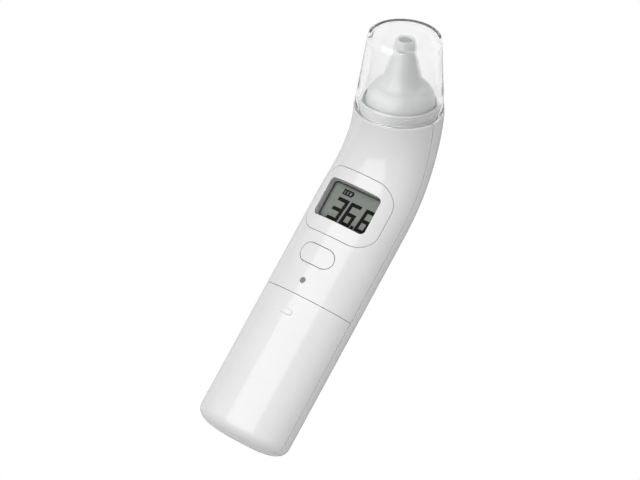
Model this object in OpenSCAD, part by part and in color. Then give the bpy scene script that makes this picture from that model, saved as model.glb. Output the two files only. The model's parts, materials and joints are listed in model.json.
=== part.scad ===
// Digital ear thermometer with a clear probe cap, as separate pieces.
// Lies on its back: +Z out of the display face, +Y along the handle to the
// head, +X to the right. All sizes are in millimetres.

/* [Handle] */
// Width of the handle
handle_w = 40; // [38:0.5:42]
// Depth of the front half of the handle
front_depth = 14.1; // [13.5:0.1:14.6]
// Depth of the back half of the handle
back_depth = 11; // [10.5:0.1:11.5]
// Wall thickness of the covers
wall = 1.8; // [1.6:0.1:1.9]
// Where the seam of the battery cover lies, from the bottom end
seam_y = 58.2; // [57.5:0.1:58.5]

/* [Head] */
// Angle of the head to the handle
bend = 42.6; // [41:0.2:45]
// Bend radius of the neck
bend_r = 46.3; // [44.1:0.2:47.1]
// Outer radius of the neck and of the foot of the cap
neck_r = 16.8; // [16.6:0.1:17]

/* [Controls] */
// Travel of the power button
button_travel = 0.4; // [0.3:0.05:0.5]
// Half width of the display window
window_hw = 11.8; // [11:0.1:12]
// Half height of the display window
window_hh = 7.6; // [7:0.1:8]

/* [Hidden] */
$fn = 64;
bend_start = 104.8;
blend_start = 95.5;
end_y = 1;
end_depth = 7.5;
flat_z = 0.4;
part_line = 2.2;
neck_line = 0.8;
fixed_gap = 0.05;
slide_gap = 0.3;
arc_len = bend_r * bend * PI / 180;
neck_s = bend_start + arc_len + 0.5;
neck_y = bend_start + bend_r * sin(bend) + 0.5 * cos(bend);
neck_z = back_depth + bend_r * (1 - cos(bend)) + 0.5 * sin(bend);

cap_outer = [[16.7, 0.35], [15.6, 10], [14.55, 20], [13.9, 27], [13.65, 28.9],
    [13.45, 29.6], [13.05, 30.1], [12.5, 30.4], [11.6, 30.55], [0, 30.65]];
cap_inner = [[0, 29], [11, 28.9], [11.7, 28.6], [12.15, 28], [12.4, 27],
    [13.05, 20], [14.05, 10], [14.45, 5.2], [15, 3.8], [15.15, 0.35]];
reach = max([for (p = cap_outer) p[0] * sin(bend) + p[1] * cos(bend)]);
mid_y = (end_y + neck_y + reach) / 2;

window_y = 95.8;
window_r = 1.8;
bezel_y = 95.45;
bezel_hw = 16.3;
bezel_hh = 12.95;
button_y = 74.2;
pin_y = 63.8;
tab_y = 51.1;
cell_y = 34;
deck_z = 13.9;
board_z = 14.4;
board_top = 15.4;
lcd_top = 19;
probe_off = 0.6;

// The handle is a section swept along a spine: straight, then bent at the neck.
function ease(t) = let(u = max(0, min(1, t))) u * u * (3 - 2 * u);
function toward_neck(s, from) = ease((s - from) / (neck_s - from));
function turn(s) = s <= bend_start ? 0
    : min(bend, (s - bend_start) / bend_r * 180 / PI);
function past(s) = max(0, s - bend_start - arc_len);
function spine_y(s) = s <= bend_start ? s
    : bend_start + bend_r * sin(turn(s)) + past(s) * cos(bend);
function spine_z(s) = back_depth + bend_r * (1 - cos(turn(s)))
    + past(s) * sin(bend);
function mix(a, b, t) = a * (1 - t) + b * t;
function half_w(s) = mix(handle_w / 2, neck_r, toward_neck(s, blend_start));
function front_d(s) = mix(front_depth, neck_r, toward_neck(s, blend_start));
function back_d(s) = mix(back_depth, neck_r, toward_neck(s, bend_start));
function at(s, x, h) = [x, spine_y(s) - h * sin(turn(s)),
    spine_z(s) + h * cos(turn(s))];
// A point on the section at angle t, scaled by k and set in by w.
function skin(s, k, t, w) = at(s, (half_w(s) - w) * k * cos(t),
    ((sin(t) >= 0 ? front_d(s) : back_d(s)) - w) * k * sin(t));
// Angle of a rim that lies off above the line where the covers meet.
function line_at(s) = mix(part_line, neck_line, toward_neck(s, bend_start));
function edge(s, k, w, off, most) = asin(min(most,
    (line_at(s) + off) / ((front_d(s) - w) * k)));
function front_row(s, k, w, off, n) = let(e = edge(s, k, w, off, 0.85))
    [for (j = [0:n]) skin(s, k, e + (180 - 2 * e) * j / n, w)];
function rear_row(s, k, w, off, n) = let(e = edge(s, k, w, off, 0.5))
    [for (j = [0:n]) skin(s, k, 180 - e + (180 + 2 * e) * j / n, w)];
// Rows of the rounded bottom end, as [distance, scale].
end_angles = [1, 8, 18, 30, 42, 54, 65, 75, 83, 90];
end_rows = [for (a = end_angles)
    [end_y + end_depth * (1 - pow(cos(a), 2 / 3)), pow(sin(a), 2 / 3)]];
neck_rows = concat([blend_start, 98, 100.3, 102.6, bend_start],
    [for (i = [1:16]) bend_start + arc_len * i / 16], [neck_s]);

// A thin closed body between two grids of points with the same counts.
module sheet(outer, inner, closed_end) {
    n = len(outer) - 1;
    m = len(outer[0]) - 1;
    half = (n + 1) * (m + 1);
    function o(i, j) = i * (m + 1) + j;
    function q(i, j) = half + i * (m + 1) + j;
    skins = [for (i = [0:n - 1]) for (j = [0:m - 1]) for (f = [
        [o(i, j), o(i, j + 1), o(i + 1, j + 1)],
        [o(i, j), o(i + 1, j + 1), o(i + 1, j)],
        [q(i, j), q(i + 1, j), q(i + 1, j + 1)],
        [q(i, j), q(i + 1, j + 1), q(i, j + 1)]]) f];
    sides = [for (i = [0:n - 1]) for (f = [
        [o(i, 0), o(i + 1, 0), q(i + 1, 0)],
        [o(i, 0), q(i + 1, 0), q(i, 0)],
        [o(i + 1, m), o(i, m), q(i, m)],
        [o(i + 1, m), q(i, m), q(i + 1, m)]]) f];
    top = [for (j = [0:m - 1]) for (f = [
        [o(n, j), o(n, j + 1), q(n, j + 1)],
        [o(n, j), q(n, j + 1), q(n, j)]]) f];
    open_foot = [for (j = [0:m - 1]) for (f = [
        [o(0, j + 1), o(0, j), q(0, j)],
        [o(0, j + 1), q(0, j), q(0, j + 1)]]) f];
    closed_foot = [[for (j = [0:m]) o(0, m - j)], [for (j = [0:m]) q(0, j)],
        [o(0, m), o(0, 0), q(0, 0), q(0, m)]];
    foot = closed_end ? closed_foot : open_foot;
    polyhedron(points = concat([for (r = outer) for (p = r) p],
        [for (r = inner) for (p = r) p]),
        faces = concat(skins, sides, top, foot), convexity = 8);
}
// A piece of the front wall between depths w0 and w1, over x from -hw to hw.
function across(hw, n) = [for (j = [0:n]) hw - 2 * hw * j / n];
function lid(s, x, w) = at(s, x, (front_d(s) - w)
    * sqrt(max(0, 1 - pow(x / (half_w(s) - w), 2))));
module patch(rows, hw, w0, w1, n = 16) {
    sheet([for (s = rows) [for (x = across(hw, n)) lid(s, x, w0)]],
        [for (s = rows) [for (x = across(hw, n)) lid(s, x, w1)]], false);
}
// A block whose top follows the front wall at depth w and whose foot is flat.
module block_under(rows, x0, x1, w, z0, n = 12) {
    xs = [for (j = [0:n]) x1 + (x0 - x1) * j / n];
    sheet([for (s = rows) [for (x = xs) lid(s, x, w)]],
        [for (s = rows) [for (x = xs) [x, lid(s, x, w)[1], z0]]], false);
}
module slab(x0, x1, y0, y1, z0, z1) {
    translate([x0, y0, z0])
        cube([x1 - x0, y1 - y0, z1 - z0]);
}
module round_box(hw, hh, r, z0, z1) {
    translate([0, 0, z0])
        linear_extrude(z1 - z0)
            union() {
                square([2 * (hw - r), 2 * hh], center = true);
                square([2 * hw, 2 * (hh - r)], center = true);
                for (x = [-1, 1])
                    for (y = [-1, 1])
                        translate([x * (hw - r), y * (hh - r)])
                            circle(r);
            }
}
module rod(x, y, r, z0, z1) {
    translate([x, y, z0])
        cylinder(r = r, h = z1 - z0);
}
module tube(x, y, r0, r1, z0, z1) {
    difference() {
        rod(x, y, r1, z0, z1);
        rod(x, y, r0, z0 - 1, z1 + 1);
    }
}
module pairs(x) {
    for (side = [-1, 1])
        translate([side * x, 0, 0])
            children();
}
// Moves a piece into the frame of the part.
module place() {
    translate([0, -mid_y, -flat_z])
        children();
}
// The axis of the head, from the middle of the neck.
module head() {
    place()
        translate([0, neck_y, neck_z])
            rotate([bend - 90, 0, 0])
                children();
}
// The axis of the probe, which lies a little behind that of the head.
module probe() {
    head()
        translate([0, probe_off, 0])
            children();
}

// ---- covers ----
module front_cover() {
    color("white")
        place()
            difference() {
                union() {
                    front_shell();
                    bulkhead();
                    slab(-3.2, 3.2, seam_y + 1.5, 67, 15.8, 17);
                    pairs(11)
                        slab(-2.8, 2.8, 50.8, seam_y + 1.5, 13.95, 15.1);
                }
                translate([0, bezel_y, 0])
                    round_box(bezel_hw, bezel_hh, 8, 12, 40);
                translate([0, button_y, 0])
                    round_box(7.65, 3.95, 3.9, 15.6, 40);
                rod(0, pin_y, 1.15, 18, 30);
                pairs(11)
                    rod(0, 54, 1.1, 10, 18);
            }
}
module front_shell() {
    s0 = seam_y + slide_gap / 2;
    rows = concat([s0, 77], neck_rows);
    sheet([for (s = rows) front_row(s, 1, 0, fixed_gap, 28)],
        [for (s = rows) front_row(s, 1, wall, fixed_gap, 28)], false);
}
module bulkhead() {
    difference() {
        block_under([seam_y + 0.3, seam_y + 1.5], -15.8, 15.8, 1.3, 14.5);
        slab(-5.2, 5.2, seam_y - 1, seam_y + 3, 20.8, 22.7);
    }
}
module rear_cover() {
    color("white")
        place()
            difference() {
                union() {
                    rear_shell();
                    for (y = [13, 54])
                        pairs(11)
                            rod(0, y, 2.2, 2.85, 12.35);
                    pairs(5.5)
                        rod(0, 113.2, 2, 1.3, 12.35);
                }
                slab(-12, 12, 2.5, 124, -5, flat_z);
                slab(-4.9, 4.9, 19.6, 48.4, 0, flat_z + 0.26);
                for (y = [13, 54])
                    pairs(11)
                        rod(0, y, 1.05, 6, 13);
            }
}
module rear_shell() {
    rows = concat([for (e = end_rows) e], [[seam_y, 1]],
        [for (s = neck_rows) [s, 1]]);
    deep = concat([for (e = end_rows) [e[0] + wall, e[1]]], [[seam_y, 1]],
        [for (s = neck_rows) [s, 1]]);
    sheet([for (e = rows) rear_row(e[0], e[1], 0, -fixed_gap, 28)],
        [for (e = deep) rear_row(e[0], e[1], wall, -fixed_gap, 28)], true);
}
module battery_cover() {
    color("white")
        place()
            difference() {
                union() {
                    battery_shell();
                    patch([tab_y - 1.2, tab_y + 1.2], 2.8, -0.4, 0.5, 6);
                    block_under([53.5, 57.6], -4.6, 4.6, 0.9, 21.2, 6);
                    slab(-4.6, 4.6, 55, 66.4, 21.2, 22.3);
                    for (x = [-6.2, 5])
                        block_under([25, 43], x, x + 1.2, 0.9, 19.4, 2);
                }
                slab(-1.75, 1.75, 60.9, 70, 20, 24);
            }
}
module battery_shell() {
    s1 = seam_y - slide_gap / 2;
    off = slide_gap - fixed_gap;
    rows = concat(end_rows, [[32, 1], [s1, 1]]);
    deep = concat([for (e = end_rows) [e[0] + wall, e[1]]], [[32, 1], [s1, 1]]);
    sheet([for (e = rows) front_row(e[0], e[1], 0, off, 28)],
        [for (e = deep) front_row(e[0], e[1], wall, off, 28)], true);
}
module rating_label() {
    color("silver")
        place()
            slab(-4.7, 4.7, 19.8, 48.2, flat_z + 0.1, flat_z + 0.25);
}

// ---- display ----
bezel_rows = [81.8, 88.6, blend_start, 98, 100.3, 102.6, bend_start, 107, 109.2,
    111.4, 113.6, 115.6];
module display_bezel() {
    color("white")
        place()
            difference() {
                union() {
                    intersection() {
                        patch(bezel_rows, 16.5, 0, wall, 24);
                        translate([0, bezel_y, 0])
                            round_box(bezel_hw - 0.12, bezel_hh - 0.12, 7.88,
                                12, 40);
                    }
                    patch([81.2, 84.95], 8, wall + 0.1, wall + 1.1, 8);
                    patch([83, 84.95], 7.6, 0.9, wall + 1, 8);
                    patch([107.45, 109.15, 110.95], 8, wall + 0.1, wall + 1.1, 8);
                    patch([107.45, 109.15], 7.6, 0.9, wall + 1, 8);
                }
                translate([0, window_y, 0])
                    round_box(window_hw, window_hh, window_r, 12, 40);
            }
}
module display_window() {
    color([0.9, 0.95, 1, 0.3])
        place()
            intersection() {
                patch([86, blend_start, 98, 100.3, 102.6, bend_start, 107],
                    12.5, 0.15, 1.15, 20);
                translate([0, window_y, 0])
                    round_box(window_hw - 0.08, window_hh - 0.08,
                        window_r - 0.08, 12, 40);
            }
}
module lcd_gasket() {
    color("black")
        place()
            translate([0, window_y, 0])
                difference() {
                    round_box(window_hw - 0.15, window_hh - 0.15,
                        window_r - 0.15, lcd_top, lcd_top + 0.3);
                    round_box(window_hw - 0.75, window_hh - 0.75,
                        window_r - 0.75, lcd_top - 1, lcd_top + 1);
                }
}
module lcd_panel() {
    color([0.6, 0.66, 0.6])
        place()
            union() {
                slab(-12.6, 12.6, 86.4, 105.6, 16.9, 17.95);
                slab(-12.6, 12.6, 87.6, 105.6, 17.95, lcd_top);
            }
}
module lcd_reflector() {
    color("silver")
        place()
            slab(-12.2, 12.2, 88.4, 103.6, 16.5, 16.85);
}
module lcd_holder() {
    color("gray")
        place()
            difference() {
                union() {
                    slab(-13.6, 13.6, 85.2, 106.8, board_top, 18.6);
                    slab(-12.6, 12.6, 85.2, 106.8, 16, 19.65);
                    block_under([87.4, blend_start, 98, 100.3, 102.6, 104.4],
                        -12.6, 12.6, wall + 0.1, 19.2, 16);
                }
                slab(-12.75, 12.75, 86.25, 105.75, board_top - 1,
                    lcd_top + 0.05);
                translate([0, window_y, 0])
                    round_box(window_hw - 0.05, window_hh - 0.05,
                        window_r - 0.05, lcd_top - 1, 40);
            }
}
module zebra_strips() {
    color("dimgray")
        place()
            for (y = [86.7, 104.1])
                slab(-11.6, 11.6, y, y + 1.2, board_top, 16.85);
}

// ---- power button and its switch ----
module power_button() {
    rows = [68.6, 71.4, 74.2, 77, 79.8];
    color("white")
        place()
            union() {
                intersection() {
                    patch(rows, 9.4, 0, 3.1, 16);
                    translate([0, button_y, 0])
                        round_box(7.35, 3.65, 3.6, 12, 40);
                }
                intersection() {
                    patch(rows, 9.4, 2.1, 3.1, 16);
                    translate([0, button_y, 0])
                        round_box(8.8, 5, 4.9, 12, 40);
                }
                rod(0, button_y, 1.6, 20.4, 22.4);
            }
}
module tact_switch_body() {
    color("dimgray")
        place()
            difference() {
                union() {
                    slab(-3, 3, button_y - 3, button_y + 3, board_top, 18.7);
                    rod(0, button_y, 2.4, 18, 18.9);
                    pairs(3.4)
                        for (y = [-2.3, 1.7])
                            translate([0, button_y, 0])
                                slab(-0.6, 0.6, y, y + 0.6, board_top, 15.65);
                }
                rod(0, button_y, 1.8, 16.4, 20);
            }
}
module tact_switch_plunger() {
    color("black")
        place()
            rod(0, button_y, 1.5, 17.2, 20.1);
}

// ---- release of the battery cover ----
module release_pin() {
    color("gray")
        place()
            union() {
                rod(0, pin_y, 1.07, 20, 24.7);
                rod(0, pin_y, 2.4, 19.9, 20.7);
                rod(0, pin_y, 0.9, 18.3, 20);
            }
}
function coil(a, r) = [r * cos(a), r * sin(a), 17.3 + 2.3 * a / (360 * 4)];
module release_spring() {
    turns = 4;
    steps = turns * 14;
    wire = 0.22;
    points = [for (i = [0:steps]) for (j = [0:5])
        let(a = i * 360 * turns / steps, b = j * 60)
            coil(a, 1.5 + wire * cos(b)) + [0, 0, wire * sin(b)]];
    sides = [for (i = [0:steps - 1]) for (j = [0:5])
        let(k = (j + 1) % 6) for (f = [
            [6 * i + j, 6 * i + 6 + j, 6 * i + 6 + k],
            [6 * i + j, 6 * i + 6 + k, 6 * i + k]]) f];
    color("silver")
        place()
            translate([0, pin_y, 0])
                polyhedron(points = points, faces = concat(sides,
                    [[for (j = [0:5]) j]],
                    [[for (j = [0:5]) 6 * steps + 5 - j]]), convexity = 8);
}

// ---- head ----
module probe_cap() {
    color([0.85, 0.9, 0.95, 0.35])
        head()
            rotate_extrude()
                polygon(concat(cap_outer, cap_inner));
}
module head_collar() {
    color("white")
        head()
            union() {
                rotate_extrude()
                    polygon([[14.6, -4], [14.6, -3.15], [13.7, -3.15],
                        [13.7, -2.05], [14.6, -2.05], [14.6, 0.1],
                        [13.95, 0.3], [13.95, 0.8], [14.3, 1], [14.3, 3.9],
                        [13.9, 4.3], [13.6, 4.3], [13.6, 3.2], [12, 3.2],
                        [12, -0.6], [11, -0.6], [11, -4]]);
                for (a = [38, 142, 218, 322])
                    rotate([0, 0, a - 7])
                        rotate_extrude(angle = 14)
                            polygon([[14.2, 2], [14.55, 2.35], [14.55, 2.8],
                                [14.2, 3.15]]);
            }
}
module collar_seal() {
    color("black")
        head()
            translate([0, 0, -2.6])
                rotate_extrude()
                    translate([14.25, 0])
                        circle(0.5, $fn = 24);
}
module probe_cone() {
    color("white")
        probe()
            rotate_extrude()
                polygon([[12.95, 3.25], [12.95, 4.4], [12.8, 5.6], [12.4, 7],
                    [11.7, 8.2], [10.65, 9.2], [9.3, 10], [8.05, 10.8],
                    [7.1, 11.9], [6.3, 13.3], [5.7, 15], [5.2, 17],
                    [4.6, 19.6], [4.15, 21.65], [3.75, 23.4], [3.45, 25.4],
                    [3.32, 26.5], [3.1, 26.9], [2.8, 27.05], [2.5, 26.9],
                    [2.5, 22.4], [3, 21.6], [3.4, 19.4], [4, 16.6], [4.5, 15],
                    [5.1, 13.3], [5.8, 12], [6.9, 10.6], [8.4, 9.3],
                    [9.8, 8.4], [10.8, 7.4], [11.5, 6.2], [11.75, 5],
                    [11.75, 3.25]]);
}
module probe_cover() {
    color([0.9, 0.93, 0.95, 0.4])
        probe()
            rotate_extrude()
                polygon([[10.3, 10], [9.2, 10.7], [8.1, 11.7], [7.3, 13.1],
                    [6.7, 15], [6.1, 17.2], [5.4, 19.8], [4.8, 21.95],
                    [4.3, 23.6], [4, 25.55], [3.85, 26.85], [3.5, 27.45],
                    [2.9, 27.65], [0, 27.65], [0, 27.35], [2.8, 27.35],
                    [3.3, 27.15], [3.55, 26.65], [3.7, 25.55], [4, 23.55],
                    [4.5, 21.85], [5.1, 19.7], [5.8, 17.1], [6.4, 14.95],
                    [7, 12.95], [7.9, 11.45], [9, 10.45], [10.1, 9.8]]);
}
module probe_window() {
    color("dimgray")
        probe()
            translate([0, 0, 26.15])
                cylinder(r = 2.42, h = 0.35);
}
module waveguide() {
    color("gold")
        probe()
            tube(0, 0, 2.05, 2.42, 22.5, 26.1);
}
module thermopile_sensor() {
    color("silver")
        probe()
            union() {
                rod(0, 0, 2.2, 19.4, 22.3);
                rod(0, 0, 2.5, 19.1, 19.6);
                for (a = [45, 135, 225, 315])
                    rotate([0, 0, a])
                        rod(1.3, 0, 0.22, 18.4, 19.3);
            }
}
module sensor_holder() {
    color("tan")
        probe()
            rotate_extrude()
                polygon([[2.6, -0.5], [11.35, -0.5], [11.35, 0.8], [4.4, 0.8],
                    [4.4, 11.5], [3.6, 12.5], [3.6, 17.3], [3, 17.6],
                    [3, 20.4], [2.6, 20.4]]);
}
flex_path = [for (h = [18.2, 8, -3])
    [neck_y + h * cos(bend) + probe_off * sin(bend),
        neck_z + h * sin(bend) - probe_off * cos(bend)]];
flex_line = concat(flex_path, [[130.5, 18.2], [126, 16.6], [121, 16],
    [110.6, 15.9]]);
function step(p, i) = let(a = p[max(0, i - 1)], b = p[min(len(p) - 1, i + 1)],
    d = b - a) [-d[1], d[0]] / norm(d);
module sensor_flex() {
    p = flex_line;
    n = len(p) - 1;
    up = [for (i = [0:n]) p[i] + step(p, i) * 0.12];
    down = [for (i = [0:n]) p[n - i] - step(p, n - i) * 0.12];
    color("orange")
        place()
            rotate([90, 0, 90])
                translate([0, 0, -1.9])
                    linear_extrude(3.8)
                        polygon(concat(up, down));
}
module flex_connector() {
    color("ivory")
        place()
            difference() {
                slab(-3.4, 3.4, 107.4, 111.2, board_top, 16.5);
                slab(-2.2, 2.2, 110.4, 112, 15.7, 16.1);
            }
}

// ---- chassis, board and what is on it ----
module inner_frame() {
    color("gainsboro")
        place()
            difference() {
                union() {
                    translate([0, 31.1, 0])
                        round_box(17, 26.5, 5, 12.4, deck_z);
                    slab(-15, 15, 56, 115.4, 12.4, deck_z);
                    tube(0, cell_y, 10.4, 11.6, 13, 17.4);
                    pairs(11)
                        rod(0, 13, 2.6, 13, 15.1);
                    for (y = [63.6, 111.2])
                        pairs(11.3)
                            rod(0, y, 2.2, 10.4, board_z);
                }
                slab(-9, 9, 66, 107.5, 10, 16);
                slab(1.8, 5.6, 43, 47, deck_z, 20);
                slab(-5.6, -1.8, 42, 47, deck_z, 20);
                slab(-5, 5, 21, 26, 14.6, 20);
                for (y = [13, 54])
                    pairs(11)
                        rod(0, y, 1.1, 10, 18);
                for (y = [63.6, 111.2])
                    pairs(11.3)
                        rod(0, y, 0.9, 9, 16);
            }
}
module main_circuit_board() {
    color("darkgreen")
        place()
            difference() {
                slab(-13.5, 13.5, 60.9, 113.6, board_z, board_top);
                for (y = [63.6, 111.2])
                    pairs(11.3)
                        rod(0, y, 1, 13, 17);
                pairs(3.7)
                    rod(0, 62.6, 0.65, 13, 17);
            }
}
module microcontroller() {
    color("black")
        place()
            union() {
                slab(-5, 5, 88, 98, 13, 14.2);
                for (i = [0:7])
                    pairs(5.4)
                        slab(-0.5, 0.5, 88.8 + i * 1.1, 89.2 + i * 1.1, 14.1,
                            14.38);
            }
}
module memory_chip() {
    color("black")
        place()
            slab(-2.5, 2.5, 100.4, 104.4, 12.9, 14.38);
}
module amplifier_chip() {
    color("black")
        place()
            slab(4.4, 7.6, 100.4, 104.4, 13.1, 14.38);
}
module timing_crystal() {
    color("silver")
        place()
            translate([-7, 100, 13.2])
                rotate([-90, 0, 0])
                    cylinder(r = 1.05, h = 5);
}
module capacitors() {
    color("tan")
        place()
            union() {
                for (y = [68.4, 80.2, 82.6])
                    pairs(9.5)
                        slab(-1, 1, y, y + 1.25, board_top + 0.02, 16.6);
            }
}
module resistors() {
    color("black")
        place()
            union() {
                for (x = [-5.4, -2.6, 2.6, 5.4])
                    slab(x - 0.8, x + 0.8, 81.2, 82, board_top + 0.02, 15.9);
                for (y = [72, 74, 76])
                    pairs(7.4)
                        slab(-0.8, 0.8, y, y + 0.8, board_top + 0.02, 15.9);
            }
}
module buzzer() {
    color("black")
        place()
            tube(0, 76, 0.7, 6, 11.4, 14.38);
}

// ---- battery bay ----
module positive_contact() {
    color("silver")
        place()
            union() {
                slab(2.2, 5.2, 44.5, 63.6, 13.92, 14.17);
                slab(2.2, 5.2, 44.5, 44.75, 13.92, 18);
                slab(2.2, 5.2, 40.4, 44.75, 17.75, 18);
                rod(3.7, 62.6, 0.5, 14, 15.7);
            }
}
module negative_contact() {
    color("silver")
        place()
            union() {
                slab(-5.2, -2.2, 31, 63.6, 13.92, 14.17);
                rod(-3.7, 32.6, 0.8, 14, 14.28);
                rod(-3.7, 62.6, 0.5, 14, 15.7);
            }
}
module coin_cell() {
    color("silver")
        place()
            union() {
                rod(0, cell_y, 10, 14.9, 17.5);
                rod(0, cell_y, 8.7, 14.3, 15);
            }
}
module screw(head_r, head_h, r, length) {
    difference() {
        union() {
            cylinder(r = head_r, h = head_h);
            translate([0, 0, -length])
                cylinder(r = r, h = length + 0.1);
        }
        for (a = [0, 90])
            rotate([0, 0, a])
                translate([-head_r * 0.6, -0.25, head_h * 0.4])
                    cube([head_r * 1.2, 0.5, head_h]);
    }
}
module case_screws() {
    color("silver")
        place()
            for (y = [13, 54])
                pairs(11)
                    translate([0, y, 15.12])
                        screw(1.9, 1.4, 1, 8.6);
}
module board_screws() {
    color("silver")
        place()
            for (y = [63.6, 111.2])
                pairs(11.3)
                    translate([0, y, board_top + 0.02])
                        screw(1.6, 1, 0.82, 4.4);
}

front_cover();
rear_cover();
battery_cover();
display_bezel();
display_window();
lcd_gasket();
lcd_panel();
lcd_reflector();
lcd_holder();
zebra_strips();
power_button();
tact_switch_body();
tact_switch_plunger();
release_pin();
release_spring();
probe_cap();
probe_cover();
probe_cone();
head_collar();
collar_seal();
probe_window();
waveguide();
thermopile_sensor();
sensor_holder();
sensor_flex();
flex_connector();
inner_frame();
main_circuit_board();
microcontroller();
memory_chip();
amplifier_chip();
timing_crystal();
capacitors();
resistors();
buzzer();
positive_contact();
negative_contact();
coin_cell();
case_screws();
board_screws();
rating_label();
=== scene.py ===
"""Looks of the digital ear thermometer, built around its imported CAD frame.

Shapes are worked out in millimetres with y measured from the bottom end of the
handle and z from the back, as in the CAD source, and shifted into the row frame
in metres when a mesh is made.
"""

import json
import math

import bmesh
import bpy
import numpy as np
from mathutils import Matrix, Vector
from mathutils.geometry import delaunay_2d_cdt


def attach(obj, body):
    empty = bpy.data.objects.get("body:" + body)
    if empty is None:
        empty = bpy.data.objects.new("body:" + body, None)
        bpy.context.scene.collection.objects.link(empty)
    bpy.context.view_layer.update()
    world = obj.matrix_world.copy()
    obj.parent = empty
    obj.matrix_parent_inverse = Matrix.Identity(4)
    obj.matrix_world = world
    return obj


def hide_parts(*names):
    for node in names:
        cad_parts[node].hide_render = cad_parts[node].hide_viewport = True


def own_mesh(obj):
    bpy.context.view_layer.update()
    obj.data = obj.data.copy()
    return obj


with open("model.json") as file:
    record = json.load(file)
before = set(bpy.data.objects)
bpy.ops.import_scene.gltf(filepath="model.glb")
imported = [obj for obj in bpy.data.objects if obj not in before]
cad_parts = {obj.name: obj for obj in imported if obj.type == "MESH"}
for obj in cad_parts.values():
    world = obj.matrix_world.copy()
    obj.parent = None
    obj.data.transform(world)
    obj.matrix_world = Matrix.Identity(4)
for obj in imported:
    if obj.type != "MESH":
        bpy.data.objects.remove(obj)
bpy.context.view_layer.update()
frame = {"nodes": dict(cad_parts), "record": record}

# ---- sizes, as in the CAD source ----
MM = 0.001
HANDLE_W = 40.0
FRONT_D, BACK_D = 14.1, 11.0  # depth before and behind the spine
WALL = 1.8
SEAM_Y = 58.2  # top of the battery cover
LINE_H, NECK_LINE_H = 2.2, 0.8  # the covers meet this far above the spine
BEND = math.radians(42.6)
BEND_R = 46.3
NECK_R = 16.8
NECK_STRAIGHT = 0.5  # from the end of the bend to the head
BEND_START, BLEND_START = 104.8, 95.5
END_Y, END_DEPTH = 1.0, 7.5  # the rounded bottom end
FLAT_Z = 0.4  # the flat back
ARC = BEND_R * BEND
NECK_S = BEND_START + ARC + NECK_STRAIGHT
NECK_Y = BEND_START + BEND_R * math.sin(BEND) + NECK_STRAIGHT * math.cos(BEND)
NECK_Z = BACK_D + BEND_R * (1 - math.cos(BEND)) + NECK_STRAIGHT * math.sin(BEND)
# profiles of the head are (radius, height) from the end of the neck
CAP_OUTER = [
    (16.7, 0.35), (15.6, 10), (14.55, 20), (13.9, 27), (13.65, 28.9), (13.45, 29.6), (13.05, 30.1),
    (12.5, 30.4), (11.6, 30.55), (0, 30.65),
]
CAP_INNER = [
    (0, 29), (11, 28.9), (11.7, 28.6), (12.15, 28), (12.4, 27), (13.05, 20), (14.05, 10), (14.45, 5.2),
    (15, 3.8), (15.15, 0.35),
]
MID_Y = (END_Y + NECK_Y + max(r * math.sin(BEND) + h * math.cos(BEND) for r, h in CAP_OUTER)) / 2
FRONT_OFF, REAR_OFF, COVER_OFF = 0.09, -0.12, 0.09  # rims above the line where covers meet
SEAM_GAP = 0.08  # half the gap over the battery cover
FRONT_S0, COVER_S1 = SEAM_Y + SEAM_GAP, SEAM_Y - SEAM_GAP
# in plan: centre, half width, half height and corner radius
BEZEL = (0, 95.45, 16.3, 12.95, 8.0)
WINDOW = (0, 95.8, 11.8, 7.6, 1.8)
BUTTON = (0, 74.2, 7.65, 3.95, 3.9)
PIN_Y, PIN_TRAVEL = 63.8, 0.9
TAB_Y = 51.1
CELL_Y = 34.0
LCD_TOP = 19.0
PROBE_OFF = 0.6  # the probe's axis lies this far behind the head's
# ---- choices of the meshes ----
SEAM_R = 0.13  # rounding along the seams
FRONT_MOST, REAR_MOST = 0.85, 0.8  # limits of a rim on the small rows of the rounded end
INSIDE = 1  # material number of a cover's inside
ROLL_R = 17  # radius at which the front wall is laid flat to be filled


# ---- the swept section of the handle ----
def ease(t):
    u = np.clip(t, 0, 1)
    return u * u * (3 - 2 * u)


def half_w(s):
    t = ease((s - BLEND_START) / (NECK_S - BLEND_START))
    return HANDLE_W / 2 * (1 - t) + NECK_R * t


def front_d(s):
    t = ease((s - BLEND_START) / (NECK_S - BLEND_START))
    return FRONT_D * (1 - t) + NECK_R * t


def back_d(s):
    t = ease((s - BEND_START) / (NECK_S - BEND_START))
    return BACK_D * (1 - t) + NECK_R * t


def turn(s):
    return np.clip((s - BEND_START) / BEND_R, 0, BEND)


def spine(s):
    """y, z and slope of the handle's middle line at length s along it."""
    a = turn(s)
    past = np.maximum(0, s - BEND_START - ARC)
    y = np.minimum(s, BEND_START) + BEND_R * np.sin(a) + past * math.cos(BEND)
    z = BACK_D + BEND_R * (1 - np.cos(a)) + past * math.sin(BEND)
    return y, z, a


def at(s, x, h):
    """The point x to the side of the spine and h above it."""
    y, z, a = spine(s)
    x = x + 0 * s
    return np.stack([x, y - h * np.sin(a), z + h * np.cos(a)], -1)


def skin(s, t, w=0.0, k=1.0):
    """The point of the section at angle t, set in by w and scaled by k."""
    d = np.where(np.sin(t) >= 0, front_d(s), back_d(s))
    return at(s, (half_w(s) - w) * k * np.cos(t), (d - w) * k * np.sin(t))


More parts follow.
